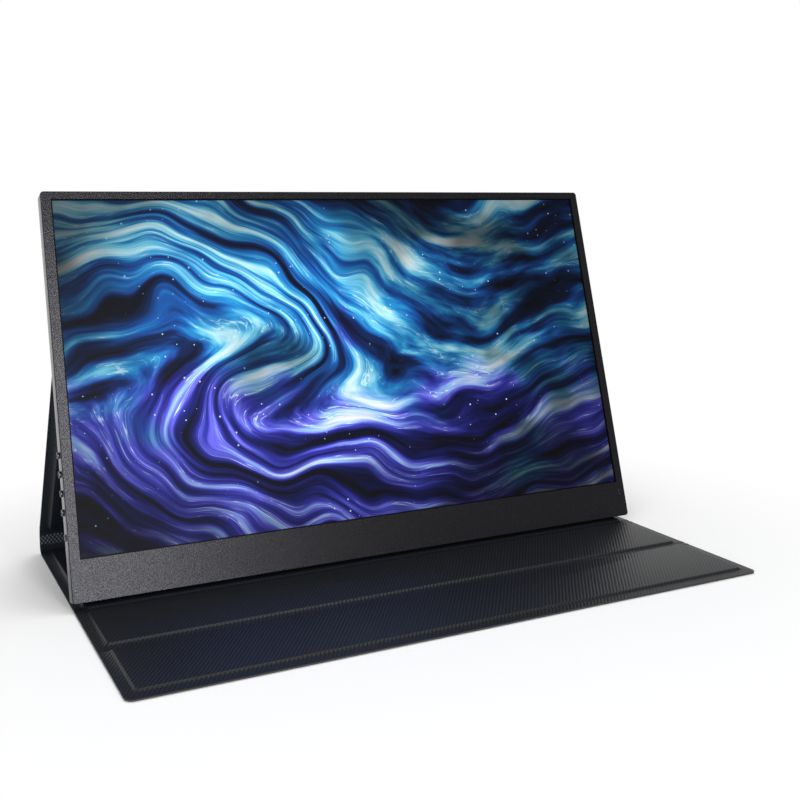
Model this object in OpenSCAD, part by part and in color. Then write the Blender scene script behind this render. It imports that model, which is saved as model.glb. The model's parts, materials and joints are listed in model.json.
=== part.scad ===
// Portable 15.6 inch monitor standing in its magnetic fold-out cover.
// +X runs to the viewer's right, +Y to the back, +Z up. The origin is under the middle of the part.
// Every flat piece is drawn lying down: x across, y along its length, z through its thickness.

/* [Display] */
// Width of the lit picture
display_w = 344.2; // [300:0.1:400]
// Height of the lit picture
display_h = 193.6; // [180:0.1:230]
// Frame beside the picture, left and right
bezel_side = 5.6; // [5:0.1:9]
// Frame above the picture
bezel_top = 4.6; // [4:0.1:9]
// Frame below the picture
chin = 22.2; // [20:0.1:32]

/* [Monitor body] */
// Depth of the whole monitor body
body_t = 9.6; // [9:0.1:14]
// Depth of the front frame
front_t = 2.4; // [1.6:0.1:3]
// Thickness of the front frame's face
face_t = 0.7; // [0.5:0.05:1.2]
// Dark seam between the front frame and the rear shell
seam = 0.3; // [0.2:0.05:0.6]
// Wall thickness of the frame and the rear shell
wall = 1.3; // [1:0.1:2]
// Corner radius of the body, seen from the front
body_r = 2; // [1.6:0.1:8]
// Chamfer round the front edge
front_c = 0.4; // [0.1:0.05:0.5]
// Chamfer round the back edge
back_c = 0.8; // [0.2:0.05:1.2]
// Room between the body wall and the display panel
panel_gap = 0.7; // [0.3:0.05:1.5]
// Backward lean of the screen when it stands
tilt = 16.2; // [12:0.1:22]

/* [Display panel layers] */
// Black foam gasket
gasket_t = 0.3; // [0.1:0.05:0.6]
// Liquid crystal cell with its polarizers
cell_t = 0.9; // [0.6:0.05:1.4]
// Diffuser and prism films together
films_t = 0.4; // [0.2:0.05:0.6]
// Light guide plate
guide_t = 0.7; // [0.5:0.05:1.2]
// White reflector sheet
reflector_t = 0.15; // [0.1:0.05:0.3]
// Sheet metal of the panel tray
tray_t = 0.3; // [0.2:0.05:0.5]
// Panel rim below the picture
panel_foot = 3.8; // [3:0.1:4.5]

/* [Keys, ports and lamps] */
// Diameter of a side key
key_d = 3.5; // [3:0.1:3.7]
// How far a menu key stands out of the side
key_proud = 1.1; // [0.6:0.1:2]
// How far the power key stands out of the side
power_proud = 0.6; // [0.5:0.1:2]
// Height of the top menu key above the bottom edge
key_top = 77; // [70:0.5:110]
// Distance between menu keys
key_pitch = 10; // [8:0.1:12]
// Height of the power key above the bottom edge
power_y = 34; // [25:0.5:36]
// Travel of a key
key_travel = 0.4; // [0.2:0.05:0.6]
// Clearance round a key in its hole
key_clear = 0.2; // [0.1:0.05:0.4]
// Height of the mini HDMI port above the bottom edge
hdmi_y = 98; // [94:0.5:101]
// Height of the upper USB-C port
usb_y = 80; // [78:0.5:82]
// Distance between the USB-C ports
usb_pitch = 15; // [13:0.5:17]
// Height of the headphone jack
jack_y = 50; // [46:0.5:54]
// Radius of the headphone jack's bore
jack_r = 1.8; // [1.75:0.01:1.9]
// Depth of the headphone jack's bore
jack_deep = 13; // [12:0.5:15]
// Diameter of an indicator lamp
lamp_d = 0.8; // [0.5:0.1:1.2]

/* [Cover sheets] */
// How far the cover stops short of the monitor's sides
cover_inset = 0.7; // [0:0.1:3]
// Outer imitation leather
skin_t = 0.8; // [0.5:0.05:1.2]
// Stiffening board
board_t = 1; // [0.8:0.05:2]
// Woven inner lining
lining_t = 0.5; // [0.3:0.05:0.8]
// Board-free border along the sides
side_border = 6; // [4:0.5:12]
// Board-free border beside a fold
fold_border = 3.5; // [2.5:0.1:4.5]
// Board-free border along the free front and top edges
free_border = 7; // [4:0.5:12]
// Radius of the cover's free corners
cover_r = 4; // [2:0.5:8]
// Radius of a board's corners
board_r = 1.5; // [0.5:0.1:3]
// Gap between two sheets at a fold
fold_gap = 0.3; // [0.2:0.05:0.6]

/* [Cover lengths] */
// Height of the back fold above the monitor's bottom edge
hinge_up = 122; // [105:0.5:135]
// Middle section of the base, from fold to fold
mid_len = 53.3; // [40:0.1:70]
// Front section of the base
tip_len = 59.7; // [45:0.1:75]
// How far the front fold groove lies ahead of the monitor
groove_ahead = 2; // [1:0.1:5]
// How far the back panel stops short of the monitor's top
top_inset = 1; // [0:0.1:5]
// Play left in the folded spine and leg
fold_play = 0.5; // [0.3:0.1:1.5]
// Magnet diameter
magnet_d = 19; // [12:0.5:24]
// Distance between magnets
magnet_pitch = 88; // [50:1:110]

/* [Hidden] */
$fn = 48;

// Monitor body
mon_w = display_w + 2 * bezel_side;
mon_h = chin + display_h + bezel_top;
back_in = body_t - wall; // depth of the inside of the back wall
shell_d = front_t + seam; // depth at which the rear shell starts
window_clear = 0.2; // frame edge outside the picture

// Display panel, all depths counted back from the front face
cell_d = face_t + gasket_t;
films_d = cell_d + cell_t;
guide_d = films_d + films_t;
reflector_d = guide_d + guide_t;
tray_d = reflector_d + reflector_t;
panel_back = tray_d + tray_t;
panel_w = mon_w - 2 * (wall + panel_gap);
panel_y0 = chin - panel_foot;
panel_y1 = mon_h - wall - panel_gap;
light_margin = 1.5; // films and light guide reach past the picture
gasket_in = 1; // the gasket's opening clears the picture by this much
board_d = 6.6; // depth of the main board's front face
pcb_t = 0.8; // printed circuit boards
port_d = (panel_back + back_in) / 2; // depth of the ports and keys
source_clear = 0.15; // under the source board
source_d = panel_back + source_clear; // depth of the source board

// Cover
cover_w = mon_w - 2 * cover_inset;
cover_t = skin_t + board_t + lining_t;
roll_r = (skin_t + lining_t) / 2; // radius of a fold's roll, centred in the thin border
inner_up = cover_t - roll_r; // lining surface above the fold axis
spine_len = body_t + 2 * inner_up + fold_play;
leg_len = hinge_up + inner_up + fold_play;
back_len = mon_h - hinge_up - top_inset;

// The standing linkage, in the YZ plane, with the fold at the foot of the spine at y = fold_y
mon_z = cover_t - back_c * sin(tilt); // the body's virtual bottom back corner
hinge_z = mon_z + hinge_up * cos(tilt) - inner_up * sin(tilt);
knee_z = roll_r + spine_len;
leg_lean = acos((hinge_z - knee_z) / leg_len);
leg_reach = leg_len * sin(leg_lean);
mon_reach = hinge_up * sin(tilt) + inner_up * cos(tilt);
rear_len = leg_reach + mon_reach + body_t * cos(tilt) + groove_ahead;
fold_y = (rear_len + mid_len + tip_len - roll_r) / 2;
hinge_y = fold_y - leg_reach;
mon_y = hinge_y - mon_reach - body_t * cos(tilt); // bottom front edge
mon_front_z = mon_z + body_t * sin(tilt);
mid_x = key_proud / 2; // the keys stand out on one side, so the middle is shifted

// ---- placing ----
module on_monitor() translate([mid_x, mon_y, mon_front_z]) rotate([90 - tilt, 0, 0]) children();
module on_back() translate([mid_x, hinge_y, hinge_z]) rotate([90 - tilt, 0, 0]) to_axis() children();
module on_leg() translate([mid_x, fold_y, knee_z]) rotate([90 + leg_lean, 0, 0]) to_axis() children();
module on_spine() translate([mid_x, fold_y, roll_r]) rotate([90, 0, 0]) to_axis() children();
module on_rear() translate([mid_x, fold_y, 0]) rotate([0, 0, 180]) children();
module on_mid() on_rear() translate([0, rear_len, 0]) children();
module on_tip() on_rear() translate([0, rear_len + mid_len, 0]) children();
module to_axis() translate([0, 0, -roll_r]) children();

// ---- shared shapes ----
// Rectangle with round corners, centred in x, from y = 0
module rounded(w, h, r) {
    translate([-w / 2 + r, 0]) square([w - 2 * r, h]);
    translate([-w / 2, r]) square([w, h - 2 * r]);
    for (x = [-1, 1], y = [r, h - r]) translate([x * (w / 2 - r), y]) circle(r);
}
// Sheet centred in x between two heights, from depth d backwards
module sheet(w, y0, y1, d, t, r = 0.5) translate([0, y0, -d - t]) linear_extrude(t) rounded(w, y1 - y0, r);
// Box from one corner to the other, z counted back as a depth
module slab(x0, x1, y0, y1, d0, d1) translate([x0, y0, -d1]) cube([x1 - x0, y1 - y0, d1 - d0]);
// Disc or post at a place, between two depths
module post(x, y, r, d0, d1) translate([x, y, -d1]) cylinder(h = d1 - d0, r = r);
// A profile carried round a rectangle with round corners: profile x = 0 is the corner's centre
module rim_sweep(w, h, r) translate([0, h / 2, 0]) for (k = [0:3]) {
    across = k % 2 == 0 ? w : h;
    along = (k % 2 == 0 ? h : w) - 2 * r;
    rotate(90 * k) translate([across / 2 - r, along / 2, 0]) {
        rotate([90, 0, 0]) linear_extrude(along) children();
        rotate_extrude(angle = 90) children();
    }
}
// Round lead along a list of points
module lead(points, d) for (i = [0:len(points) - 1]) {
    translate(points[i]) sphere(d / 2, $fn = 16);
    if (i > 0) {
        step = points[i] - points[i - 1];
        length = norm(step);
        translate(points[i - 1]) rotate([0, acos(step[2] / length), atan2(step[1], step[0])])
            cylinder(h = length, r = d / 2, $fn = 16);
    }
}

// ---- monitor casing ----
case_screw_in = 10; // outer case screws to the sides
case_screw_x = [-mon_w / 2 + case_screw_in, -mon_w / 6, mon_w / 6, mon_w / 2 - case_screw_in];
case_screw_y = 6;
screw_r = 0.8;
boss_r = 2.2;
lamp_in = 4.7; // lamps to the right side
lamp_x = mon_w / 2 - lamp_in;
lamp_y = [14.4, 16.6];
lamp_play = 0.05; // round a light pipe in its hole

module front_frame() color("#3f3e42") on_monitor() difference() {
    union() {
        rim_sweep(mon_w, mon_h, body_r) polygon([[body_r - wall, -front_t], [body_r, -front_t],
            [body_r, -front_c], [body_r - front_c, 0], [body_r - wall, 0]]);
        sheet(mon_w - 2 * wall + 0.02, wall - 0.01, mon_h - wall + 0.01, 0, face_t, body_r - wall);
        for (x = case_screw_x) post(x, case_screw_y, boss_r, face_t / 2, back_in);
    }
    slab(-display_w / 2 - window_clear, display_w / 2 + window_clear, chin - window_clear,
        chin + display_h + window_clear, -1, face_t + 1);
    for (x = case_screw_x) post(x, case_screw_y, screw_r + 0.02, face_t + 1, body_t);
    for (y = lamp_y) post(lamp_x, y, lamp_d / 2 + lamp_play, -1, front_t);
}

tongue_t = wall / 2;
slot_w = 1.2;
slot_h = 7;
slot_pitch = 4;
slot_count = 9;
speaker_w = 58;
speaker_in = 45; // a speaker's middle to the side
speaker_x = mon_w / 2 - speaker_in;
module rear_shell() color("#242426") on_monitor() difference() {
    union() {
        rim_sweep(mon_w, mon_h, body_r) polygon([[body_r - wall, -body_t], [body_r - back_c, -body_t],
            [body_r, -body_t + back_c], [body_r, -shell_d], [body_r - wall + tongue_t, -shell_d],
            [body_r - wall + tongue_t, -front_t], [body_r - wall, -front_t]]);
        sheet(mon_w - 2 * wall + 0.02, wall - 0.01, mon_h - wall + 0.01, back_in, wall, body_r - wall);
        for (x = main_hole_x, y = main_hole_y) post(x, y, boss_r, board_d + pcb_t, back_in + 0.01);
        slab(lamp_board_x0, lamp_board_x1, lamp_board_y0, lamp_board_y0 + lamp_rib_h,
            lamp_board_d + pcb_t, back_in + 0.01);
    }
    // screw holes with their countersinks
    for (x = case_screw_x) {
        post(x, case_screw_y, screw_r + 3 * head_clear, back_in - 1, body_t + 1);
        post(x, case_screw_y, case_head_r + head_clear, body_t - case_head_t, body_t + 1);
    }
    for (x = main_hole_x, y = main_hole_y) post(x, y, screw_r, board_d, back_in);
    // sound slots over both speakers
    for (s = [-1, 1], k = [0:slot_count - 1]) {
        x = s * speaker_x + (k - (slot_count - 1) / 2) * slot_pitch;
        y = (speaker_y0 + speaker_y1 - slot_h) / 2;
        slab(x - slot_w / 2, x + slot_w / 2, y, y + slot_h, back_in - 1, body_t + 1);
    }
    // key holes in the left wall
    for (y = key_ys) side_post(-mon_w / 2 - 1, y, key_d / 2 + key_clear, wall + 2);
    // port openings in the right wall
    for (y = usb_ys)
        side_slot(mon_w / 2 - wall - 1, y, usb_h + 2 * port_clear, usb_t + 2 * port_clear, wall + 2);
    side_slot(mon_w / 2 - wall - 1, hdmi_y, hdmi_h + 2 * port_clear, hdmi_t + 2 * port_clear, wall + 2,
        hdmi_r + port_clear);
    side_post(mon_w / 2 - wall - 1, jack_y, jack_nose_r + port_clear, wall + 2);
}

// ---- display panel ----
module panel_gasket() color("#151515") on_monitor() difference() {
    sheet(panel_w, panel_y0, panel_y1, face_t, gasket_t);
    sheet(display_w + 2 * gasket_in, chin - gasket_in, chin + display_h + gasket_in, face_t - 1, gasket_t + 2);
}
module lcd_cell() color("#1b2f5c") on_monitor() sheet(panel_w, panel_y0, panel_y1, cell_d, cell_t);
module light_layer(d, t) sheet(display_w + 2 * light_margin, chin - light_margin,
    chin + display_h + light_margin, d, t);
module optical_films() color("#e6e8ea") on_monitor() light_layer(films_d, films_t);
module light_guide() color("#cfe6ee") on_monitor() light_layer(guide_d, guide_t);
module reflector_sheet() color("#f2f2f2") on_monitor() light_layer(reflector_d, reflector_t);
module panel_tray() color("#8f9296") on_monitor() difference() {
    sheet(panel_w, panel_y0, panel_y1, films_d, panel_back - films_d);
    sheet(panel_w - 2 * tray_t, panel_y0 + tray_t, panel_y1 - tray_t, films_d - 1, tray_d - films_d + 1);
}
led_w = 3;
led_pitch = 7;
strip_t = 0.25;
led_h = 1.2;
led_gap = 0.1; // between the lamps and the light guide's edge
module backlight_strip() color("#e9e2b8") on_monitor() {
    count = floor(display_w / led_pitch) - 1;
    y0 = chin - light_margin - led_gap - led_h - strip_t;
    slab(-(count * led_pitch) / 2, (count * led_pitch) / 2, y0, y0 + strip_t, guide_d - led_gap, tray_d);
    for (k = [0:count - 1])
        slab((k - (count - 1) / 2) * led_pitch - led_w / 2, (k - (count - 1) / 2) * led_pitch + led_w / 2,
            y0 + strip_t, y0 + strip_t + led_h, guide_d, reflector_d);
}
source_w = 200;
source_h = 11;
source_y = panel_y0 + 2;
flex_x = [-75, -25, 25, 75];
flex_w = 24;
flex_t = 0.12;
flex_out = 0.5; // the links bend down this far below the panel
socket_in = 2; // a cable's socket to its board's edge
socket_h = 3;
socket_t = 0.6;
module source_board() color("#1d5a38") on_monitor() {
    slab(-source_w / 2, source_w / 2, source_y, source_y + source_h, source_d, source_d + pcb_t);
    slab(cable_x0, cable_x0 + cable_w, source_y + socket_in, source_y + socket_in + socket_h,
        source_d + pcb_t, source_d + pcb_t + socket_t);
}
module cell_flexes() color("#b5762a") on_monitor() for (x = flex_x) {
    bend_y = panel_y0 - flex_out;
    slab(x - flex_w / 2, x + flex_w / 2, bend_y, panel_y0, films_d - flex_t, films_d);
    slab(x - flex_w / 2, x + flex_w / 2, bend_y - flex_t, bend_y, films_d - flex_t, source_d);
    slab(x - flex_w / 2, x + flex_w / 2, bend_y - flex_t, source_y, source_d, source_d + flex_t);
}

// ---- boards and ports ----
main_w = 61.4;
main_gap = 0.6; // from the main board to the right wall
main_below = 16; // the board reaches this far below the headphone jack
main_above = 12; // and this far above the HDMI port
main_x1 = mon_w / 2 - wall - main_gap;
main_x0 = main_x1 - main_w;
main_y0 = jack_y - main_below;
main_y1 = hdmi_y + main_above;
hole_in = 4; // screw holes to the board's edges
hole_port = 18; // screw holes behind the ports
main_hole_x = [main_x0 + hole_in, main_x1 - hole_port];
main_hole_y = [main_y0 + hole_in, main_y1 - hole_in];
hole_clear = 0.2;
port_clear = 0.2;
port_deep = 8; // ports reach in behind the wall
usb_ys = [usb_y, usb_y - usb_pitch];
usb_h = 8.9;
usb_t = 3.2;
hdmi_h = 11.2;
hdmi_t = 3.2;
metal_t = 0.3;
hdmi_r = 0.8; // corners of the HDMI shell
usb_tongue = [6.6, 0.7]; // height and thickness
hdmi_tongue = [8, 0.6];
jack_nose_t = 0.4;
jack_nose_r = jack_r + jack_nose_t;
jack_h = 6;
jack_t = back_in - panel_back - port_clear;

// Post lying along x from the plane x0 inwards or outwards, at the depth of the ports
module side_post(x0, y, r, h) translate([x0, y, -port_d]) rotate([0, 90, 0]) cylinder(h = h, r = r);
// Slot with round ends, or with corner radius r, lying along x
module side_slot(x0, y, h, t, len, r = 0) translate([x0, y - h / 2, -port_d]) rotate([90, 0, 90])
    linear_extrude(len) slot_outline(h, t, r > 0 ? r : t / 2);
module slot_outline(h, t, r) {
    translate([r, -t / 2]) square([h - 2 * r, t]);
    if (t > 2 * r) translate([0, -t / 2 + r]) square([h, t - 2 * r]);
    for (x = [r, h - r], y = [-t / 2 + r, t / 2 - r]) translate([x, y]) circle(r);
}
module notch(y, h, deep) slab(main_x1 - deep, main_x1 + 1, y - h / 2 - port_clear, y + h / 2 + port_clear,
    board_d - 1, board_d + pcb_t + 1);

module main_board() color("#1b4f8a") on_monitor() difference() {
    slab(main_x0, main_x1, main_y0, main_y1, board_d, board_d + pcb_t);
    for (y = usb_ys) notch(y, usb_h, port_deep);
    notch(hdmi_y, hdmi_h, port_deep);
    notch(jack_y, jack_h, jack_deep + main_gap);
    for (x = main_hole_x, y = main_hole_y) post(x, y, screw_r + hole_clear, board_d - 1, board_d + 2);
}
chip_back = board_d + pcb_t;
chip_y = (main_y0 + main_y1) / 2;
chip_x = main_x0 + 16;
chip_w = 14;
pad_t = (back_in - chip_back) / 2;
memory_at = [12, 14]; // corner, from the board's left edge and its middle
memory_size = [10, 8, 1];
coil_x = 28; // from the board's left edge
coil_ys = [12, -20]; // from the board's middle
coil_w = 6;
coil_t = 1.6;
socket_side = 1; // a socket is this much wider than its cable
socket_x0 = 1; // display cable's socket, from the board's left edge
socket_x1 = 5;
key_socket_x0 = 12; // key cable's socket
key_socket_x1 = 19;
module main_chips() color("#141416") on_monitor() {
    slab(chip_x, chip_x + chip_w, chip_y - chip_w / 2, chip_y + chip_w / 2, chip_back, back_in - pad_t);
    slab(main_x0 + memory_at[0], main_x0 + memory_at[0] + memory_size[0], chip_y + memory_at[1],
        chip_y + memory_at[1] + memory_size[1], board_d - memory_size[2], board_d);
    for (y = coil_ys) slab(main_x0 + coil_x, main_x0 + coil_x + coil_w,
        chip_y + y, chip_y + y + coil_w, board_d - coil_t, board_d);
    slab(main_x0 + socket_x0, main_x0 + socket_x1, cable_y - socket_side, cable_y + cable_w + socket_side,
        cable_d + cable_t, board_d);
    slab(main_x0 + key_socket_x0, main_x0 + key_socket_x1, key_cable_y - socket_side,
        key_cable_y + key_cable_w + socket_side, chip_back, back_in - cable_t);
}
module thermal_pad() color("#8fa7c4") on_monitor() slab(chip_x, chip_x + chip_w,
    chip_y - chip_w / 2, chip_y + chip_w / 2, back_in - pad_t, back_in);

module usb_c_shells() color("#b9bcc0") on_monitor() for (y = usb_ys) difference() {
    side_slot(mon_w / 2 - wall - port_deep, y, usb_h, usb_t, port_deep + wall);
    side_slot(mon_w / 2 - wall - port_deep + metal_t, y, usb_h - 2 * metal_t, usb_t - 2 * metal_t,
        port_deep + wall);
}
module usb_c_tongues() color("#1a1a1a") on_monitor() for (y = usb_ys)
    port_tongue(y, usb_tongue);
module mini_hdmi_shell() color("#b9bcc0") on_monitor() difference() {
    side_slot(mon_w / 2 - wall - port_deep, hdmi_y, hdmi_h, hdmi_t, port_deep + wall, hdmi_r);
    side_slot(mon_w / 2 - wall - port_deep + metal_t, hdmi_y, hdmi_h - 2 * metal_t, hdmi_t - 2 * metal_t,
        port_deep + wall, hdmi_r - metal_t);
}
module mini_hdmi_tongue() color("#1a1a1a") on_monitor() port_tongue(hdmi_y, hdmi_tongue);
module port_tongue(y, size) slab(mon_w / 2 - wall - port_deep + metal_t, mon_w / 2 - wall,
    y - size[0] / 2, y + size[0] / 2, port_d - size[1] / 2, port_d + size[1] / 2);
module headphone_jack() color("#18181a") on_monitor() difference() {
    union() {
        slab(mon_w / 2 - wall - jack_deep, mon_w / 2 - wall, jack_y - jack_h / 2, jack_y + jack_h / 2,
            port_d - jack_t / 2, port_d + jack_t / 2);
        side_post(mon_w / 2 - wall - 1, jack_y, jack_nose_r, wall + 1);
    }
    side_post(mon_w / 2 - jack_deep, jack_y, jack_r, jack_deep + 1);
}

// ---- keys on the left side ----
key_ys = concat([for (k = [0:3]) key_top - k * key_pitch], [power_y]);
flange_out = 0.5;
flange_r = key_d / 2 + flange_out;
flange_t = 0.8;
flange_play = 0.1;
stem_r = 0.8;
stem_in = 0.5; // the stem reaches this far into its switch
switch_t = 2.6;
switch_w = 3.4;
switch_gap = 0.2; // left between a pressed key and its switch
switch_x = -mon_w / 2 + wall + flange_play + flange_t + key_travel + switch_gap; // face of the switches
key_board_x = switch_x + switch_t;
key_board_end = 6; // the board reaches this far past the end keys
key_board_clear = 0.3;
stem_play = 0.15; // round a stem in its switch
key_edge = 0.25; // chamfer of a key's face
module side_key(y, proud, dish) on_monitor() translate([-mon_w / 2 - proud, y, -port_d]) rotate([0, 90, 0])
    rotate_extrude() polygon([[0, dish], [key_d * 0.3, dish], [key_d * 0.36, 0], [key_d / 2 - key_edge, 0],
        [key_d / 2, key_edge], [key_d / 2, proud + wall + flange_play], [flange_r, proud + wall + flange_play],
        [flange_r, proud + wall + flange_play + flange_t], [stem_r, proud + wall + flange_play + flange_t],
        [stem_r, proud + switch_x + mon_w / 2 + stem_in], [0, proud + switch_x + mon_w / 2 + stem_in]]);
module menu_key_1() color("#4a4a4e") side_key(key_ys[0], key_proud, 0.3);
module menu_key_2() color("#4a4a4e") side_key(key_ys[1], key_proud, 0.3);
module menu_key_3() color("#4a4a4e") side_key(key_ys[2], key_proud, 0.3);
module menu_key_4() color("#4a4a4e") side_key(key_ys[3], key_proud, 0.3);
module power_key() color("#2b2b2e") side_key(key_ys[4], power_proud, 0.2);
module key_switches() color("#c9c9c4") on_monitor() for (y = key_ys) difference() {
    slab(switch_x, switch_x + switch_t, y - switch_w / 2, y + switch_w / 2,
        port_d - switch_w / 2, port_d + switch_w / 2);
    side_post(switch_x - 1, y, stem_r + stem_play, 1 + stem_in + key_travel + 2 * stem_play);
}
module key_board() color("#1d5a38") on_monitor() slab(key_board_x, key_board_x + pcb_t,
    power_y - key_board_end, key_top + key_board_end, panel_back + key_board_clear, back_in);

// ---- lamps and speakers ----
lamp_board_d = 4.6;
lamp_board_x0 = lamp_x - 3;
lamp_board_x1 = lamp_x + 1.5;
lamp_board_y0 = 9;
lamp_board_y1 = lamp_y[1] + 1;
lamp_rib_h = 3; // rib of the rear shell that carries the lamp board
diode = 0.5; // half the width of a lamp's diode, and its thickness
module lamp_pipes() color("#dfe6ea") on_monitor() for (y = lamp_y)
    post(lamp_x, y, lamp_d / 2, 0, lamp_board_d - diode);
module lamp_board() color("#1d5a38") on_monitor() {
    slab(lamp_board_x0, lamp_board_x1, lamp_board_y0, lamp_board_y1, lamp_board_d, lamp_board_d + pcb_t);
    for (y = lamp_y)
        slab(lamp_x - diode, lamp_x + diode, y - diode, y + diode, lamp_board_d - diode, lamp_board_d);
}
speaker_up = 1.7; // from the bottom wall
speaker_h = 12.5;
speaker_y0 = wall + speaker_up;
speaker_y1 = speaker_y0 + speaker_h;
speaker_t = 4.6;
cone_in = 6; // from the speaker's end to its sound opening
cone_deep = 1;
cone_rim = 1.5; // from its long sides
cone_hang = 0.7; // flexible edge round the cone
module speaker(side) color("#1c1c1e") on_monitor() {
    x0 = side * speaker_x - speaker_w / 2;
    x1 = x0 + speaker_w;
    difference() {
        slab(x0, x1, speaker_y0, speaker_y1, back_in - speaker_t, back_in);
        slab(x0 + cone_in, x1 - cone_in, speaker_y0 + cone_rim, speaker_y1 - cone_rim,
            back_in - cone_deep, back_in + 1);
    }
    slab(x0 + cone_in + 3 * cone_hang, x1 - cone_in - 3 * cone_hang, speaker_y0 + cone_rim + cone_hang,
        speaker_y1 - cone_rim - cone_hang, back_in - cone_deep, back_in - cone_deep / 2);
}
module speaker_left() speaker(-1);
module speaker_right() speaker(1);

// ---- leads inside ----
cable_x0 = 30;
cable_w = 12;
cable_y = 60;
cable_d = source_d + pcb_t + socket_t;
cable_t = 0.2;
key_cable_w = 5;
key_cable_up = 2; // from the screw post below it
key_cable_y = main_hole_y[0] + boss_r + key_cable_up;
module display_cable() color("#c98a2e") on_monitor() {
    slab(cable_x0, cable_x0 + cable_w, source_y + socket_in, cable_y + cable_w, cable_d, cable_d + cable_t);
    slab(cable_x0 + cable_w, main_x0 + socket_x1, cable_y, cable_y + cable_w, cable_d, cable_d + cable_t);
}
module key_cable() color("#e4e0d4") on_monitor() slab(key_board_x + pcb_t, main_x0 + key_socket_x1, key_cable_y,
    key_cable_y + key_cable_w, back_in - cable_t, back_in);
lead_d = 0.9;
lead_y = 22;
lead_in = 4; // a lead's turn to the speaker's end
lead_exit = 3; // below the left speaker's top edge
lead_xs = [8, 12]; // where the leads reach the main board, from its left edge
lead_step = 2; // between the leads' level runs, and their reach over the board
module speaker_leads() color("#b3252a") on_monitor() {
    z = -back_in + lead_d / 2;
    left_x = -speaker_x + speaker_w / 2;
    left_y = speaker_y1 - lead_exit;
    right_x = speaker_x - speaker_w / 2 + lead_in;
    right_y = lead_y - lead_step;
    end_y = main_y0 + lead_step;
    lead([[left_x + lead_d / 2, left_y, z], [left_x + lead_in, left_y, z], [left_x + lead_in, lead_y, z],
        [main_x0 + lead_xs[0], lead_y, z], [main_x0 + lead_xs[0], end_y, z]], lead_d);
    lead([[right_x, speaker_y1 + lead_d / 2, z], [right_x, right_y, z],
        [main_x0 + lead_xs[1], right_y, z], [main_x0 + lead_xs[1], end_y, z]], lead_d);
}

// ---- fasteners and keepers ----
case_head_r = 1.9;
case_head_t = 0.8;
head_clear = 0.1; // round a sunk screw head
screw_tip = 1.2; // a case screw ends this far behind the front face's inside
board_head_r = 1.5;
board_head_t = 0.5;
module screw(x, y, r, t, d_head, length) {
    cross_l = r * 0.6;
    cross_w = r * 0.1;
    difference() {
        post(x, y, r, d_head, d_head + t);
        slab(x - cross_l, x + cross_l, y - cross_w, y + cross_w, d_head + t * 0.6, d_head + t + 1);
        slab(x - cross_w, x + cross_w, y - cross_l, y + cross_l, d_head + t * 0.6, d_head + t + 1);
    }
    post(x, y, screw_r, d_head - length, d_head);
}
module case_screws() color("#303034") on_monitor() for (x = case_screw_x) screw(x, case_screw_y,
    case_head_r, case_head_t, body_t - case_head_t, body_t - case_head_t - face_t - screw_tip);
module board_screws() color("#9a9ca0") on_monitor() for (x = main_hole_x, y = main_hole_y) {
    post(x, y, board_head_r, board_d - board_head_t, board_d);
    post(x, y, screw_r - 0.02, board_d, back_in);
}
magnet_y = hinge_up + roll_r + back_len / 2; // height above the monitor's bottom edge
keeper_t = 0.4;
keeper_rim = 1; // a keeper plate reaches this far past its magnet
module keeper_plates() color("#8c8f94") on_monitor() for (k = [-1:1])
    post(k * magnet_pitch, magnet_y, magnet_d / 2 + keeper_rim, back_in - keeper_t, back_in);

// ---- cover ----
// starts: distance from the fold axis at which a piece may start, for a carrying or a carried sheet
carried = roll_r + fold_gap;
module roll(y) translate([-cover_w / 2, y, roll_r]) rotate([0, 90, 0]) cylinder(h = cover_w, r = roll_r);
// Outline from y0 to y1, whose far corners are round where r is over 0
module cover_outline(y0, y1, r) {
    translate([-cover_w / 2, y0]) square([cover_w, y1 - y0 - r]);
    if (r > 0) {
        translate([-cover_w / 2 + r, y0]) square([cover_w - 2 * r, y1 - y0]);
        for (x = [-1, 1]) translate([x * (cover_w / 2 - r), y1 - r]) circle(r);
    }
}
module skin(y0, y1, rolls, r = 0) {
    linear_extrude(skin_t) cover_outline(y0, y1, r);
    for (y = rolls) roll(y);
}
module pad_outline(y0, y1, grow) translate([0, y0 - grow])
    rounded(cover_w - 2 * side_border + 2 * grow, y1 - y0 + 2 * grow, board_r + grow);
module board(y0, y1) translate([0, 0, skin_t]) linear_extrude(board_t) pad_outline(y0, y1, 0);
module lining(y0, y1, b0, b1, r = 0) difference() {
    union() {
        translate([0, 0, skin_t]) linear_extrude(lining_t) cover_outline(y0, y1, r);
        translate([0, 0, skin_t]) linear_extrude(board_t + lining_t) pad_outline(b0, b1, lining_t);
    }
    translate([0, 0, skin_t - 1]) linear_extrude(board_t + 1) pad_outline(b0, b1, 0);
}
lining_near = roll_r + 0.05; // a lining stops just short of its own sheet's roll
magnet_clear = 0.2;

leather = "#35332f";
weave = "#1c2027";
card = "#8a7f6c";
module back_skin() color(leather) on_back() skin(carried, back_len, [], cover_r);
module back_board() color(card) on_back() difference() {
    board(fold_border, back_len - free_border);
    for (k = [-1:1]) translate([k * magnet_pitch, magnet_y - hinge_up, skin_t - 1])
        cylinder(h = board_t + 2, d = magnet_d + magnet_clear);
}
module back_lining() color(weave) on_back()
    lining(carried, back_len, fold_border, back_len - free_border, cover_r);
module back_magnets() color("#a8abb0") on_back() for (k = [-1:1])
    translate([k * magnet_pitch, magnet_y - hinge_up, skin_t]) cylinder(h = board_t, d = magnet_d);

module leg_skin() color(leather) on_leg() skin(carried, leg_len, [leg_len]);
leg_low = carried + lining_t; // the leg's board comes down as near the knee as its lining can close round it
module leg_board() color(card) on_leg() board(leg_low, leg_len - fold_border);
module leg_lining() color(weave) on_leg()
    lining(carried, leg_len - lining_near, leg_low, leg_len - fold_border);

module spine_skin() color(leather) on_spine() skin(carried, spine_len, [spine_len]);
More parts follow.
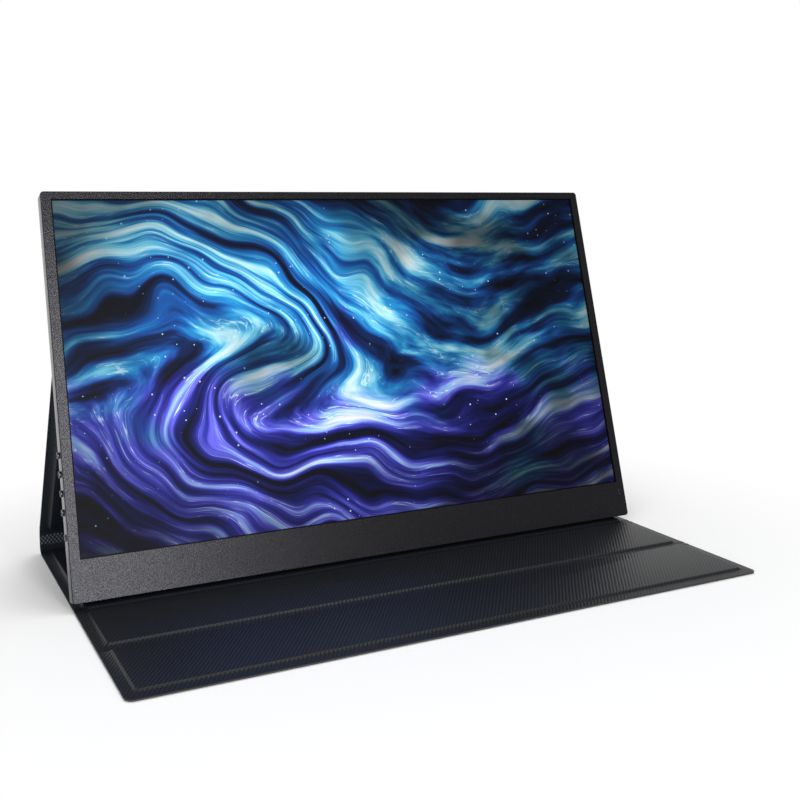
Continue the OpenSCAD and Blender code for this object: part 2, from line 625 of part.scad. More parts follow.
// The spine is soft: it has no board, and its lining lies flat on its skin
module spine_lining() color(weave) on_spine() translate([0, 0, skin_t])
    linear_extrude(lining_t) cover_outline(carried, spine_len - lining_near, 0);

module rear_skin() color(leather) on_rear() skin(0, rear_len, [0, rear_len]);
module rear_board() color(card) on_rear() board(fold_border, rear_len - fold_border);
module rear_lining() color(weave) on_rear()
    lining(lining_near, rear_len - lining_near, fold_border, rear_len - fold_border);

module mid_skin() color(leather) on_mid() skin(carried, mid_len, [mid_len]);
module mid_board() color(card) on_mid() board(fold_border, mid_len - fold_border);
module mid_lining() color(weave) on_mid()
    lining(carried, mid_len - lining_near, fold_border, mid_len - fold_border);

module tip_skin() color(leather) on_tip() skin(carried, tip_len, [], cover_r);
module tip_board() color(card) on_tip() board(fold_border, tip_len - free_border);
module tip_lining() color(weave) on_tip() lining(carried, tip_len, fold_border, tip_len - free_border, cover_r);

front_frame();
rear_shell();
panel_gasket();
lcd_cell();
optical_films();
light_guide();
reflector_sheet();
panel_tray();
backlight_strip();
source_board();
cell_flexes();
main_board();
main_chips();
thermal_pad();
usb_c_shells();
usb_c_tongues();
mini_hdmi_shell();
mini_hdmi_tongue();
headphone_jack();
key_board();
key_switches();
menu_key_1();
menu_key_2();
menu_key_3();
menu_key_4();
power_key();
lamp_pipes();
lamp_board();
speaker_left();
speaker_right();
display_cable();
key_cable();
speaker_leads();
case_screws();
board_screws();
keeper_plates();
back_skin();
back_board();
back_lining();
back_magnets();
leg_skin();
leg_board();
leg_lining();
spine_skin();
spine_lining();
rear_skin();
rear_board();
rear_lining();
mid_skin();
mid_board();
mid_lining();
tip_skin();
tip_board();
tip_lining();
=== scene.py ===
import json
import math

import bmesh
import bpy
from mathutils import Matrix, Vector


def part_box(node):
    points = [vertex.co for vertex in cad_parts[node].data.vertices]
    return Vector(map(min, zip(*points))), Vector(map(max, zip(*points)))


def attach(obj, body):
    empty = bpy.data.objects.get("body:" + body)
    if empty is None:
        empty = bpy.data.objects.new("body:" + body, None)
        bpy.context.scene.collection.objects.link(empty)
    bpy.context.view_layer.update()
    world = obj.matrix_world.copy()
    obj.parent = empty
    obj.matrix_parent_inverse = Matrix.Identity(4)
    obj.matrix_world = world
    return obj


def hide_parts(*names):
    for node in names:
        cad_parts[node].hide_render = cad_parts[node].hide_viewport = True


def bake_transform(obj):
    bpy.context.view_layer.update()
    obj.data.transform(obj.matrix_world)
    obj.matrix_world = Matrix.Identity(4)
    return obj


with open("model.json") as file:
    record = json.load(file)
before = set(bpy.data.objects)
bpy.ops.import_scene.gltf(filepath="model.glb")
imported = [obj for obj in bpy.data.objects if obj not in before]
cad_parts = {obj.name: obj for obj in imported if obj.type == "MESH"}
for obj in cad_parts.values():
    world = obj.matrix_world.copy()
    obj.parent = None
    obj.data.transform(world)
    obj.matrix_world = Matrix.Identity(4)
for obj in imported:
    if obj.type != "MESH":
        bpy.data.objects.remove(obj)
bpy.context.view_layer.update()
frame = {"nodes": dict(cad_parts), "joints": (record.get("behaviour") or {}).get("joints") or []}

# A portable monitor standing in its fold-out cover. Lengths are metres; a material's own coordinates are mm.
mm = 0.001
touching = 1e-6  # places closer than this are the same
flatAngle = 1e-3  # a fold that turns less than this is flat, radians
nodes = frame["nodes"]
acrossAxis = Vector((1, 0, 0))
foldAt = {j["name"]: Vector(j["pos_m"]) for j in frame["joints"] if j["type"] == "hinge"}
screenUp = Vector(next(j["axis"] for j in frame["joints"] if j["name"] == "monitor_lift"))
middleX = foldAt["heel_fold"].x


def toLinear(hexColour):
    channels = [int(hexColour[i:i + 2], 16) / 255 for i in (1, 3, 5)]
    linear = [c / 12.92 if c <= 0.04045 else ((c + 0.055) / 1.055) ** 2.4 for c in channels]
    return (*linear, 1.0)


# Settings that several nodes share
flatNoise = {"noise_dimensions": "2D"}
smooth = {"interpolation_type": "SMOOTHSTEP"}
colours = {"data_type": "RGBA"}


# Adds a shader node. Settings are its own properties; inputs are values, sockets, or nodes whose first output
# feeds it.
def addNode(tree, kind, settings=None, inputs=None):
    node = tree.nodes.new("ShaderNode" + kind)
    for name, value in (settings or {}).items():
        if name == "stops":  # colours along a ramp
            for i, (place, colour) in enumerate(value):
                stop = node.color_ramp.elements[i] if i < 2 else node.color_ramp.elements.new(place)
                stop.position = place
                stop.color = toLinear(colour)
        else:
            setattr(node, name, value)
    for name, value in (inputs or {}).items():
        if isinstance(value, bpy.types.Node):
            value = value.outputs[0]
        if isinstance(value, bpy.types.NodeSocket):
            tree.links.new(value, node.inputs[name])
        else:
            node.inputs[name].default_value = value
    return node


# A material with its finish set, and the place on the piece in mm for its patterns
def startMaterial(name, finish):
    material = bpy.data.materials.new(name)
    material.use_nodes = True
    tree = material.node_tree
    shader = tree.nodes["Principled BSDF"]
    for socket, value in finish.items():
        shader.inputs[socket].default_value = toLinear(value) if isinstance(value, str) else value
    place = addNode(tree, "TexCoord").outputs["Object"]
    inMm = addNode(tree, "Mapping", {}, {"Vector": place, "Scale": (1000, 1000, 1000)})
    return material, tree, shader, inMm


# Colour between two shades by a height, and the same height as relief
def shadeAndBump(tree, shader, height, low, high, depth):
    shades = addNode(tree, "ValToRGB", {"stops": [(0.3, low), (0.7, high)]}, {"Fac": height})
    relief = addNode(tree, "Bump", {}, {"Strength": 1.0, "Distance": depth * mm, "Height": height})
    tree.links.new(shades.outputs["Color"], shader.inputs["Base Color"])
    tree.links.new(relief.outputs["Normal"], shader.inputs["Normal"])


# Moulded plastic with a fine even grain: a broad soft highlight that breaks up on close view
def mouldedPlastic(name, low, high, roughness, grain, depth):
    material, tree, shader, inMm = startMaterial(name, {"Roughness": roughness, "IOR": 1.53})
    noise = addNode(tree, "TexNoise", {}, {"Vector": inMm, "Scale": 1 / grain, "Detail": 3.0})
    shadeAndBump(tree, shader, noise, low, high, depth)
    return material


# Sheet or turned metal: fine scratches drawn out along x, so the gloss spreads one way
def brushedMetal(name, low, high, roughness, scratch, depth):
    material, tree, shader, inMm = startMaterial(name, {"Roughness": roughness, "Metallic": 1.0})
    drawn = addNode(tree, "Mapping", {}, {"Vector": inMm, "Scale": (0.05, 1.0, 1.0)})
    noise = addNode(tree, "TexNoise", {}, {"Vector": drawn, "Scale": 1 / scratch, "Detail": 4.0})
    shadeAndBump(tree, shader, noise, low, high, depth)
    return material


# ABS from a spark-eroded mould: sand-like grains under a millimetre wide. They hardly differ in colour, but
# each leans its own way and has its own gloss, so that the sheen sparkles.
def sandTexturedAbs():
    sand = {"grain": 0.5, "relief": 0.07, "polished": 0.16, "dull": 0.36}  # mm, mm and two roughnesses
    material, tree, shader, inMm = startMaterial(
        "sandTexturedAbs", {"IOR": 1.53, "Specular IOR Level": 0.38, "Specular Tint": "#f0f0fa"})
    grains = addNode(tree, "TexNoise", {}, {"Vector": inMm, "Scale": 1 / sand["grain"], "Detail": 2.0,
                                            "Roughness": 0.6})
    shadeAndBump(tree, shader, grains, "#08080a", "#19191c", sand["relief"])
    gloss = addNode(tree, "MapRange", {}, {"Value": grains, "From Min": 0.3, "From Max": 0.7,
                                           "To Min": sand["dull"], "To Max": sand["polished"]})
    tree.links.new(gloss.outputs["Result"], shader.inputs["Roughness"])
    return material


# Axes from three directions, with their origin at a place
def axesAt(origin, x, y, z):
    return Matrix.Translation(origin) @ Matrix((x, y, z)).transposed().to_4x4()


monitor = {
    "displayWidth": 344.2 * mm,
    "displayHeight": 193.6 * mm,
    "chin": 22.2 * mm,  # frame below the picture
}


# Axes of the screen in the frame: its origin is the middle of the front face's bottom edge
def findScreen():
    forward = acrossAxis.cross(screenUp)
    corners = [v.co for v in nodes["front_frame"].data.vertices]
    bottom = min(c.dot(screenUp) for c in corners)
    front = max(c.dot(forward) for c in corners)
    origin = acrossAxis * middleX + screenUp * bottom + forward * front
    return axesAt(origin, acrossAxis, screenUp, forward)


screen = findScreen()


# The picture is a made-up abstract, silky streaks drawn round a whirl, in navy, blue, cyan and violet
picture = {
    # The unlit line is partly the LCD's black border, partly a painted shade of the frame's recess over the
    # picture
    "unlitEdgeAndShade": 0.6,  # unlit line round the picture, mm
    "whirl": (-58.0, -6.0),  # middle of the whirl, mm from the middle of the screen
    "turns": 3.4,  # radians that its middle is turned by
    "reach": 62.0,  # mm from its middle to where half of that turn is left
    "squeeze": 1.25,  # the whirl is this much wider than high
    "cloud": 110.0,  # size of the slow cloud, mm
    "sway": 70.0,  # how far the cloud carries the streaks, mm
    "streak": (95.0, 15.0),  # length and width of a broad streak, mm
    "thread": (60.0, 5.0),
    "slant": 0.35,  # radians that streaks and threads lean by
    "threadCore": 0.016,  # how near to its middle a thread's cloud is bright
    "drift": (75.0, 60.0),  # size of the bright and the dark areas, mm
    "duskFall": -0.0045,  # violet lost with each mm up the screen
    "ring": (12.0, 46.0, 70.0, 150.0),  # where the bright ring rises and where it fades, mm from the whirl
    "drop": 9.0,  # between drops of light, mm
    "dropSpread": 0.09,  # widest difference between drops, in parts of that distance
    "dropCut": -0.03,  # takes the smallest drops away
    "corners": (1 / 200, 1 / 130, 0.0),  # one over the half width and half height of the fade
}


# The plane is carried about by a slow cloud, then turned round the whirl. Gives that plane, and how far each
# point is from the whirl.
def turnRoundWhirl(tree, flat):
    cloud = addNode(tree, "TexNoise", flatNoise,
                    {"Vector": flat, "Scale": 1 / picture["cloud"], "Detail": 2.0})
    carried = addNode(tree, "VectorMath", {"operation": "MULTIPLY_ADD"}, {
        0: cloud.outputs["Color"], 1: (picture["sway"],) * 3,
        2: [-picture["sway"] / 2 - c for c in (*picture["whirl"], 0)]})
    carried = addNode(tree, "VectorMath", {"operation": "ADD"}, {0: flat, 1: carried})
    carried = addNode(tree, "VectorMath", {"operation": "MULTIPLY"},
                      {0: carried, 1: (1, picture["squeeze"], 0)})
    radius = addNode(tree, "VectorMath", {"operation": "LENGTH"}, {0: carried}).outputs["Value"]
    twist = addNode(tree, "Math", {"operation": "DIVIDE"}, {0: radius, 1: picture["reach"]})
    twist = addNode(tree, "Math", {"operation": "MULTIPLY_ADD"}, {0: twist, 1: twist, 2: 1.0})
    twist = addNode(tree, "Math", {"operation": "DIVIDE"}, {0: picture["turns"], 1: twist})
    swirled = addNode(tree, "VectorRotate", {"rotation_type": "Z_AXIS"}, {"Vector": carried, "Angle": twist})
    return swirled, radius


# A cloud drawn out to the length and width of streak, thread or drift
def drawOut(tree, plane, name, slant, detail):
    length, width = picture[name]
    drawn = addNode(tree, "Mapping", {}, {"Vector": plane, "Scale": (1 / length, 1 / width, 0),
                                          "Rotation": (0, 0, slant)})
    return addNode(tree, "TexNoise", flatNoise, {"Vector": drawn, "Scale": 1.0, "Detail": detail})


# Broad streaks, blue over most of the screen and violet low down
def colourStreaks(tree, flat, streak, drift):
    water = addNode(tree, "ValToRGB", {"stops": [
        (0.29, "#040a1c"), (0.74, "#f4fdff"), (0.39, "#0b2656"), (0.46, "#14529f"), (0.53, "#258cc8"),
        (0.59, "#6cc8e8"), (0.66, "#c0eefa")]}, {"Fac": streak})
    dusk = addNode(tree, "ValToRGB", {"stops": [
        (0.31, "#06081c"), (0.74, "#ece8ff"), (0.41, "#161a60"), (0.50, "#3436a4"), (0.58, "#6464da"),
        (0.65, "#90b8f2")]}, {"Fac": streak})
    height = addNode(tree, "SeparateXYZ", {}, {0: flat}).outputs["Y"]
    share = addNode(tree, "Math", {"operation": "MULTIPLY_ADD"},
                    {0: height, 1: picture["duskFall"], 2: drift})
    share = addNode(tree, "MapRange", smooth, {"Value": share, "From Min": 0.5, "From Max": 0.72})
    return addNode(tree, "Mix", colours, {0: share, 6: water, 7: dusk}).outputs[2]


# Fine pale threads along the bright streaks
def addThreads(tree, colour, streak, thread):
    thread = addNode(tree, "Math", {"operation": "SUBTRACT"}, {0: thread, 1: 0.5})
    thread = addNode(tree, "Math", {"operation": "ABSOLUTE"}, {0: thread})
    thread = addNode(tree, "MapRange", smooth, {"Value": thread, "From Max": picture["threadCore"],
                                                "To Min": 1.0, "To Max": 0.0})
    bright = addNode(tree, "MapRange", smooth, {"Value": streak, "From Min": 0.46, "From Max": 0.62})
    thread = addNode(tree, "Math", {"operation": "MULTIPLY"}, {0: thread, 1: bright})
    return addNode(tree, "Mix", colours, {0: thread, 6: colour, 7: toLinear("#d6f4ff")}).outputs[2]


# Brighter in a ring round the whirl, darker where the drift is low
def lightenRing(tree, colour, radius, drift):
    riseStart, riseEnd, fadeStart, fadeEnd = picture["ring"]
    inner = addNode(tree, "MapRange", smooth, {"Value": radius, "From Min": riseStart, "From Max": riseEnd})
    outer = addNode(tree, "MapRange", smooth, {"Value": radius, "From Min": fadeStart, "From Max": fadeEnd,
                                               "To Min": 0.8, "To Max": 0.0})
    level = addNode(tree, "MapRange", smooth, {"Value": drift, "From Min": 0.36, "From Max": 0.66,
                                               "To Min": 0.12, "To Max": 0.76})
    level = addNode(tree, "Math", {"operation": "MULTIPLY_ADD"}, {0: inner, 1: outer, 2: level})
    return addNode(tree, "VectorMath", {"operation": "SCALE"}, {0: colour, "Scale": level})


# Small drops of light in the bright areas
def addDrops(tree, colour, flat, drift):
    drops = addNode(tree, "TexVoronoi", {"voronoi_dimensions": "2D"},
                    {"Vector": flat, "Scale": 1 / picture["drop"]})
    size = addNode(tree, "SeparateColor", {}, {0: drops.outputs["Color"]})
    size = addNode(tree, "Math", {"operation": "MULTIPLY_ADD"},
                   {0: size, 1: picture["dropSpread"], 2: picture["dropCut"]})
    drop = addNode(tree, "Math", {"operation": "LESS_THAN"}, {0: drops.outputs["Distance"], 1: size})
    bright = addNode(tree, "MapRange", smooth, {"Value": drift, "From Min": 0.48, "From Max": 0.6})
    drop = addNode(tree, "Math", {"operation": "MULTIPLY"}, {0: drop, 1: bright})
    return addNode(tree, "Mix", colours, {0: drop, 6: colour, 7: toLinear("#c8ecff")}).outputs[2]


# Darker corners, and no light past the edge of the picture nor in a thin line inside it, which is partly the
# LCD's black border and partly painted shade of the frame's recess
def fadeToEdge(tree, colour, flat):
    corner = addNode(tree, "VectorMath", {"operation": "MULTIPLY"}, {0: flat, 1: picture["corners"]})
    corner = addNode(tree, "VectorMath", {"operation": "LENGTH"}, {0: corner}).outputs["Value"]
    glow = addNode(tree, "MapRange", smooth, {"Value": corner, "From Min": 0.5, "From Max": 1.2,
                                              "To Min": 1.0, "To Max": 0.2})
    away = addNode(tree, "VectorMath", {"operation": "ABSOLUTE"}, {0: flat})
    away = addNode(tree, "SeparateXYZ", {}, {0: away})
    for axis, across in (("X", monitor["displayWidth"]), ("Y", monitor["displayHeight"])):
        inside = addNode(tree, "Math", {"operation": "LESS_THAN"},
                         {0: away.outputs[axis], 1: across / 2 / mm - picture["unlitEdgeAndShade"]})
        glow = addNode(tree, "Math", {"operation": "MULTIPLY"}, {0: glow, 1: inside})
    return addNode(tree, "VectorMath", {"operation": "SCALE"}, {0: colour, "Scale": glow})


# A lit LCD under a matt polariser: the picture is its own light, with hardly any gloss over it
def litDisplay():
    material, tree, shader, inMm = startMaterial("litDisplay", {
        "Base Color": "#020204", "Roughness": 0.45, "Specular IOR Level": 0.1, "Emission Strength": 1.0})
    centre = screen @ Vector((0, monitor["chin"] + monitor["displayHeight"] / 2, 0))
    turn = screen.to_3x3().inverted()
    flat = addNode(tree, "Mapping", {}, {"Vector": inMm, "Rotation": turn.to_euler(),
                                         "Location": turn @ centre * -1000})
    swirled, radius = turnRoundWhirl(tree, flat)
    streak = drawOut(tree, swirled, "streak", picture["slant"], 4.0)
    thread = drawOut(tree, swirled, "thread", picture["slant"], 3.0)
    drift = drawOut(tree, flat, "drift", 0.0, 3.0)
    colour = colourStreaks(tree, flat, streak, drift)
    colour = addThreads(tree, colour, streak, thread)
    colour = lightenRing(tree, colour, radius, drift)
    colour = addDrops(tree, colour, flat, drift)
    colour = fadeToEdge(tree, colour, flat)
    tree.links.new(colour.outputs["Vector"], shader.inputs["Emission Color"])
    return material


# Polyurethane imitation leather, calendered smooth: a faint pebble grain with painted shade in its creases,
# and a dull warm sheen
def imitationLeather():
    grain = {"pebble": 0.9, "depth": 0.035, "patch": 35.0}  # mm; the tone drifts in wide patches
    material, tree, shader, inMm = startMaterial("imitationLeather", {"Roughness": 0.52, "IOR": 1.48})
    pebbles = addNode(tree, "TexVoronoi", {"feature": "DISTANCE_TO_EDGE"},
                      {"Vector": inMm, "Scale": 1 / grain["pebble"]})
    pebbles = addNode(tree, "MapRange", {}, {"Value": pebbles.outputs["Distance"], "From Max": 0.25})
    patches = addNode(tree, "TexNoise", {}, {"Vector": inMm, "Scale": 1 / grain["patch"], "Detail": 3.0})
    shades = addNode(tree, "ValToRGB", {"stops": [(0.3, "#312f2c"), (0.7, "#3b3936")]}, {"Fac": patches})
    # Painted shade: the colour is darkened in the creases between the pebbles, where the bump makes them low
    creaseShade = addNode(tree, "ValToRGB", {"stops": [(0.0, "#b8b8b8"), (0.6, "#ffffff")]}, {"Fac": pebbles})
    colour = addNode(tree, "Mix", {"data_type": "RGBA", "blend_type": "MULTIPLY"},
                     {0: 1.0, 6: shades, 7: creaseShade})
    relief = addNode(tree, "Bump", {}, {"Strength": 0.8, "Distance": grain["depth"] * mm, "Height": pebbles})
    tree.links.new(colour.outputs[2], shader.inputs["Base Color"])
    tree.links.new(relief.outputs["Normal"], shader.inputs["Normal"])
    return material


# Coated twill lining, woven: raised floats 2.17 mm apart across, in rows 1.47 mm apart that step sideways, so
# that ribs run both ways. On the base the ribs of one way stand out. One cloth in three copies: a calmer one
# stands in for the shade inside the stand, and on the spine pale floats are painted glints. It reads its own
# UV map, the unrolled cover in mm.
def coatedTwill(name, ribShares, shades, relief):
    weave = {"across": 2.17, "row": 1.47, "step": 1.18, "wander": 1.1}  # mm, and wander in radians
    material, tree, shader, inMm = startMaterial(name, {
        "Roughness": 0.44, "IOR": 1.5, "Specular IOR Level": 0.32})
    unrolled = addNode(tree, "UVMap", {"uv_map": "unrolled"})
    wobble = addNode(tree, "TexNoise", flatNoise, {"Vector": unrolled, "Scale": 0.35, "Detail": 1.0})
    height = 0.5
    for slant, share in zip((weave["step"] - weave["across"], weave["step"]), ribShares):
        wave = (math.tau / weave["across"], math.tau * slant / weave["across"] / weave["row"], 0)
        phase = addNode(tree, "VectorMath", {"operation": "DOT_PRODUCT"}, {0: unrolled, 1: wave})
        phase = addNode(tree, "Math", {"operation": "MULTIPLY_ADD"},
                        {0: wobble, 1: weave["wander"], 2: phase.outputs["Value"]})
        rib = addNode(tree, "Math", {"operation": "COSINE"}, {0: phase})
        height = addNode(tree, "Math", {"operation": "MULTIPLY_ADD"},
                         {0: rib, 1: share / sum(ribShares) / 2, 2: height})
    # Painted shade and light: the colour is darker in the weave's gaps and lighter on its floats, by the same
    # height as the relief
    colour = addNode(tree, "ValToRGB", {"stops": shades}, {"Fac": height})
    bump = addNode(tree, "Bump", {}, {"Strength": 1.0, "Distance": relief * mm, "Height": height})
    tree.links.new(colour.outputs["Color"], shader.inputs["Base Color"])
    tree.links.new(bump.outputs["Normal"], shader.inputs["Normal"])
    return material


# Acrylic and film: see-through plastic with a clean gloss, faintly clouded inside
def cloudedAcrylic(name, colour, roughness, through):
    material, tree, shader, inMm = startMaterial(
        name, {"Base Color": colour, "Roughness": roughness, "IOR": 1.49, "Transmission Weight": through})
    cloud = addNode(tree, "TexNoise", {}, {"Vector": inMm, "Scale": 0.5, "Detail": 2.0})
    relief = addNode(tree, "Bump", {}, {"Strength": 0.3, "Distance": 0.01 * mm, "Height": cloud})
    tree.links.new(relief.outputs["Normal"], shader.inputs["Normal"])
    return material


# Printed circuit board: solder mask lacquer over copper tracks that show as faint parallel ridges
def solderMask(name, low, high):
    material, tree, shader, inMm = startMaterial(name, {"Roughness": 0.28, "IOR": 1.55, "Coat Weight": 0.3})
    tracks = addNode(tree, "TexWave", {"bands_direction": "DIAGONAL"},
                     {"Vector": inMm, "Scale": 0.35, "Distortion": 3.0, "Detail": 1.0})
    shadeAndBump(tree, shader, tracks.outputs["Fac"], low, high, 0.03)
    return material


leather = imitationLeather()
# The lining cloth in three copies: the base's, a calmer one whose low contrast stands in for the shade inside
# the stand, and the spine's, whose pale floats are painted glints
twill = coatedTwill("coatedTwill", (1.0, 0.2), [(0.15, "#090a0c"), (0.85, "#1a1d22")], 0.12)
twillInShade = coatedTwill("twillInShade", (1.0, 0.4), [(0.1, "#0e1218"), (0.9, "#1a202a")], 0.06)
spineTwillPaintedGlints = coatedTwill("spineTwillPaintedGlints", (0.8, 1.0), [(0.45, "#121820"), (0.9, "#656d77")], 0.2)
satinAbs = mouldedPlastic("satinAbs", "#1c1c1e", "#262628", 0.24, 0.5, 0.006)
blackNylon = mouldedPlastic("blackNylon", "#131314", "#1c1c1e", 0.5, 0.4, 0.01)
tinnedSteel = brushedMetal("tinnedSteel", "#a9abae", "#c6c8cb", 0.3, 0.2, 0.004)
greenMask = solderMask("greenSolderMask", "#123f28", "#1c5c3a")
polyimide = mouldedPlastic("polyimideFoil", "#9c6420", "#b97c30", 0.25, 3.0, 0.01)
menuKeyMetal = brushedMetal("turnedAluminium", "#4e4e51", "#7c7c80", 0.26, 0.25, 0.006)
powerKeyMetal = brushedMetal("darkAnodisedAluminium", "#5a5a5d", "#767679", 0.34, 0.25, 0.006)
# Finishes of the pieces that are shown as the CAD made them
nodeMaterials = {
    "front_frame": sandTexturedAbs(),
    "rear_shell": satinAbs,
    "panel_gasket": mouldedPlastic("closedCellFoam", "#0e0e0e", "#1c1c1c", 0.9, 0.6, 0.08),
    "lcd_cell": litDisplay(),
    "optical_films": cloudedAcrylic("diffuserFilm", "#e4e8ec", 0.4, 0.3),
    "light_guide": cloudedAcrylic("castAcrylicGuide", "#d6eef4", 0.06, 0.9),
    "reflector_sheet": mouldedPlastic("whitePolyester", "#ececec", "#f6f6f6", 0.3, 5.0, 0.01),
    "panel_tray": brushedMetal("galvanisedSteel", "#8a8d91", "#a7aaae", 0.34, 0.6, 0.008),
    "backlight_strip": mouldedPlastic("siliconePhosphor", "#e6dfa8", "#f2efd4", 0.35, 1.2, 0.01),
    "source_board": greenMask,
    "cell_flexes": polyimide,
    "main_board": solderMask("blueSolderMask", "#143c6c", "#1f568f"),
    "main_chips": mouldedPlastic("mouldedEpoxy", "#161618", "#222225", 0.55, 0.3, 0.01),
    "thermal_pad": mouldedPlastic("siliconePad", "#7f95b0", "#93a9c4", 0.7, 0.8, 0.02),
    "usb_c_shells": tinnedSteel,
    "usb_c_tongues": blackNylon,
    "mini_hdmi_shell": tinnedSteel,
    "mini_hdmi_tongue": blackNylon,
    "headphone_jack": blackNylon,
    "key_board": greenMask,
    "key_switches": mouldedPlastic("whitePbt", "#b9b9b4", "#cfcfca", 0.5, 0.5, 0.01),
    "power_key": powerKeyMetal,
    "lamp_pipes": cloudedAcrylic("smokedAcrylicPipe", "#5c6064", 0.15, 0.5),
    "lamp_board": greenMask,
    "speaker_left": blackNylon,
    "speaker_right": blackNylon,
    "display_cable": polyimide,
    "key_cable": mouldedPlastic("whiteRibbon", "#d9d5c8", "#e8e5da", 0.35, 1.0, 0.01),
    "speaker_leads": mouldedPlastic("redPvc", "#8f1c20", "#b3252a", 0.4, 0.6, 0.01),
    "case_screws": brushedMetal("blackOxideSteel", "#2a2a2c", "#3c3c3f", 0.35, 0.3, 0.006),
    "board_screws": brushedMetal("zincPlatedSteel", "#8f9194", "#aaacb0", 0.3, 0.3, 0.006),
    "keeper_plates": brushedMetal("springSteel", "#7f8286", "#989ba0", 0.34, 0.5, 0.006),
    "back_magnets": brushedMetal("nickelPlate", "#a4a7ab", "#bcbfc3", 0.18, 0.8, 0.003),
}
for k in range(1, 5):
    nodeMaterials[f"menu_key_{k}"] = menuKeyMetal
# Greyboard: pressed waste paper, dull and speckled with fibres
greyboard = mouldedPlastic("pressedGreyboard", "#6f6658", "#8f8573", 0.9, 1.4, 0.06)
for section in ("back", "leg", "rear", "mid", "tip"):
    nodeMaterials[section + "_board"] = greyboard
for name, material in nodeMaterials.items():
    nodes[name].data.materials.clear()
    nodes[name].data.materials.append(material)
print("materials on the carried pieces:", len(nodeMaterials))


# Leaves only the new object active, so that an operator touches nothing else
def startPiece(name, primitive, **place):
    if bpy.context.object and bpy.context.object.mode != "OBJECT":
        bpy.ops.object.mode_set(mode="OBJECT")
    bpy.ops.object.select_all(action="DESELECT")
    primitive(**place)
    piece = bpy.context.object
    piece.name = piece.data.name = name
    return piece


# Selects the vertices, edges or faces of the piece in edit mode whose place passes the test
def choose(piece, kind, test):
    bpy.ops.mesh.select_mode(type=kind)
    bpy.ops.mesh.select_all(action="DESELECT")
    shape = bmesh.from_edit_mesh(piece.data)
    parts = {"VERT": shape.verts, "EDGE": shape.edges, "FACE": shape.faces}[kind]
    for part in parts:
        corners = [part.co] if kind == "VERT" else [v.co for v in part.verts]
        if test(corners, part):
            part.select_set(True)
    shape.select_flush_mode()
    bmesh.update_edit_mesh(piece.data)


def applyModifier(piece, kind, **settings):
    modifier = piece.modifiers.new(kind.title(), kind)
    for name, value in settings.items():
        setattr(modifier, name, value)
    bpy.context.view_layer.objects.active = piece
    bpy.ops.object.modifier_apply(modifier=modifier.name)


# Writes the unrolled place of each corner, in mm, then stands the piece where it belongs
def placePiece(piece, axes, unroll, material):
    bpy.ops.object.mode_set(mode="OBJECT")
    while piece.data.uv_layers:
        piece.data.uv_layers.remove(piece.data.uv_layers[0])
    layer = piece.data.uv_layers.new(name="unrolled")
    for loop in piece.data.loops:
        corner = piece.data.vertices[loop.vertex_index].co
        layer.data[loop.index].uv = (corner.x / mm, unroll(corner) / mm)
    piece.matrix_world = axes
    bpy.ops.object.select_all(action="DESELECT")
    piece.select_set(True)
    bpy.context.view_layer.objects.active = piece
    bpy.ops.object.transform_apply(location=True, rotation=True, scale=True)
    bpy.ops.object.shade_smooth_by_angle(angle=math.radians(35))
    piece.data.materials.clear()
    piece.data.materials.append(material)


cover = {
    "skin": 0.8 * mm,
    "board": 1.0 * mm,
    "lining": 0.5 * mm,
    "foldBorder": 3.5 * mm,  # from a fold to the boards beside it
    "sideBorder": 6.0 * mm,
    "freeBorder": 7.0 * mm,
    "cornerRadius": 4.0 * mm,
    "slope": 1.0 * mm,  # the lining comes down from a board over this width
    "padCorner": 1.6 * mm,
    "padRound": 0.4 * mm,
    "edgePress": 0.25 * mm,  # the free edges are pressed thinner by this
    "skinPress": 0.2 * mm,  # the skin's borders and folds lie this much deeper than its boarded middle
    "skinSlope": 0.4 * mm,
    "kneeBorder": 1.45 * mm,  # from the knee to the leg's board
    "bend": 3.0 * mm,  # from a fold's axis to where the sheet is flat again
    "heelBend": 5.0 * mm,  # the soft heel rolls round more widely
    "tail": 0.1 * mm,  # a fold's strip goes on flat past its bend
    "lap": 0.4 * mm,  # a flat sheet reaches this far into the bend
    "skinTuck": 0.03 * mm,  # a strip's faces lie this much under those of the flat sheets
    "liningTuck": 0.05 * mm,
    "foldDip": 0.22 * mm,  # the lining sinks in at a flat fold
}
# The cover where it has no board, whose middle passes through the fold axes
thin = cover["skin"] + cover["lining"]
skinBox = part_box("rear_skin")
coverWidth = skinBox[1].x - skinBox[0].x
frontEdge = Vector((middleX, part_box("tip_skin")[0].y, foldAt["tip_fold"].z))
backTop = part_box("back_skin")[1].z - (cover["skin"] - thin / 2) * screenUp.y
topEdge = foldAt["back_fold"] + screenUp * (backTop - foldAt["back_fold"].z) / screenUp.z


# Axes of a stretch of cover: x across, y along it, z towards its lining, from the middle of the thin sheet
def stretchAxes(start, end):
    along = (end - start).normalized()
    return axesAt(start, acrossAxis, along, acrossAxis.cross(along))


folds = ["tip_fold", "mid_fold", "heel_fold", "knee_fold", "back_fold"]
bends = dict.fromkeys(folds, cover["bend"]) | {"heel_fold": cover["heelBend"]}
# Stretches and folds in shade under the monitor and inside the stand take the calmer, shaded copy of the
# twill
inShade = ["rear", "heel_fold", "knee_fold", "leg", "back_fold", "back"]
linings = dict.fromkeys(inShade, twillInShade) | {"spine": spineTwillPaintedGlints}
sections = [("tip", "base_tip"), ("mid", "base_mid"), ("rear", "base_rear"), ("spine", "spine"),
            ("leg", "leg"), ("back", "back_panel")]
ends = [frontEdge, *(foldAt[fold] for fold in folds), topEdge]
endBends = [0.0, *(bends[fold] for fold in folds), 0.0]
stretches = []  # in order from the front edge to the top edge
lengthSoFar = 0.0
for i, (name, body) in enumerate(sections):
    start, end = ends[i], ends[i + 1]
    stretches.append({
        "name": name, "body": body, "axes": stretchAxes(start, end), "length": (end - start).length,
        "from": lengthSoFar, "freeStart": name == "tip", "freeEnd": name == "back",
        "bendStart": endBends[i], "bendEnd": endBends[i + 1]})
    lengthSoFar += (end - start).length


